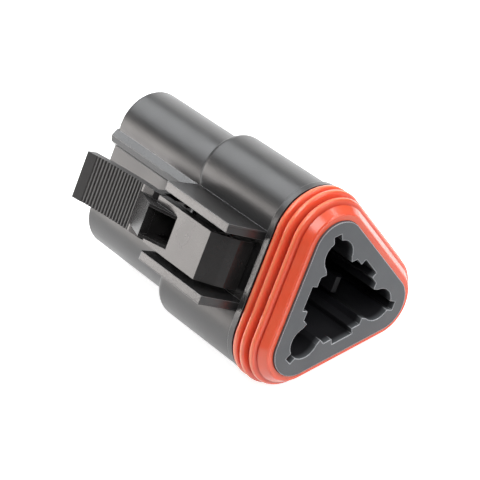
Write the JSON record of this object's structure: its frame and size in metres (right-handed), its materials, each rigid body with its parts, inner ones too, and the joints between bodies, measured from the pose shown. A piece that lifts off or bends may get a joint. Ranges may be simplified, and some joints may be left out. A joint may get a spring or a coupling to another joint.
{
  "type": "sealed plug connector",
  "caption": "Sealed three-way plug connector with a triangular nose, ribbed silicone seal, squeeze latch and rear wire seal.",
  "frame": {"origin": "middle of the mating face, at the front end of the nose", "axes": "+Y along the connector towards the wires, +Z towards the top contact cavity, +X to the right seen from the mating face"},
  "size_m": [0.0269, 0.0364, 0.0225],
  "materials": {
    "shell_nylon": "fine satin, as moulded",
    "carrier_nylon": "fine matt, as moulded",
    "seal_silicone": "satin silicone rubber"
  },
  "bodies": {
    "connector": {"shell": "shell_nylon", "contact_carrier": "carrier_nylon", "interface_seal": "seal_silicone", "wire_grommet": "seal_silicone"},
    "latch": {"latch_lever": "shell_nylon"},
    "lock_1": {"lock_finger_1": "carrier_nylon"},
    "lock_2": {"lock_finger_2": "carrier_nylon"},
    "lock_3": {"lock_finger_3": "carrier_nylon"}
  },
  "joints": [
    {"name": "latch_press", "type": "hinge", "parent": "connector", "child": "latch", "pos_m": [-0.00749, 0.0209, 0.00432], "axis": [-0.5, 0, -0.866], "range_deg": [0, 9], "stiffness_Nm_per_rad": 0.8},
    {"name": "lock_bend_1", "type": "hinge", "parent": "connector", "child": "lock_1", "pos_m": [0, 0.0132, 0.00378], "axis": [1, 0, 0], "range_deg": [0, 6], "stiffness_Nm_per_rad": 0.3},
    {"name": "lock_bend_2", "type": "hinge", "parent": "connector", "child": "lock_2", "pos_m": [-0.00327, 0.0132, -0.00189], "axis": [-0.5, 0, 0.866], "range_deg": [0, 6], "stiffness_Nm_per_rad": 0.3},
    {"name": "lock_bend_3", "type": "hinge", "parent": "connector", "child": "lock_3", "pos_m": [0.00327, 0.0132, -0.00189], "axis": [-0.5, 0, -0.866], "range_deg": [0, 6], "stiffness_Nm_per_rad": 0.3}
  ]
}
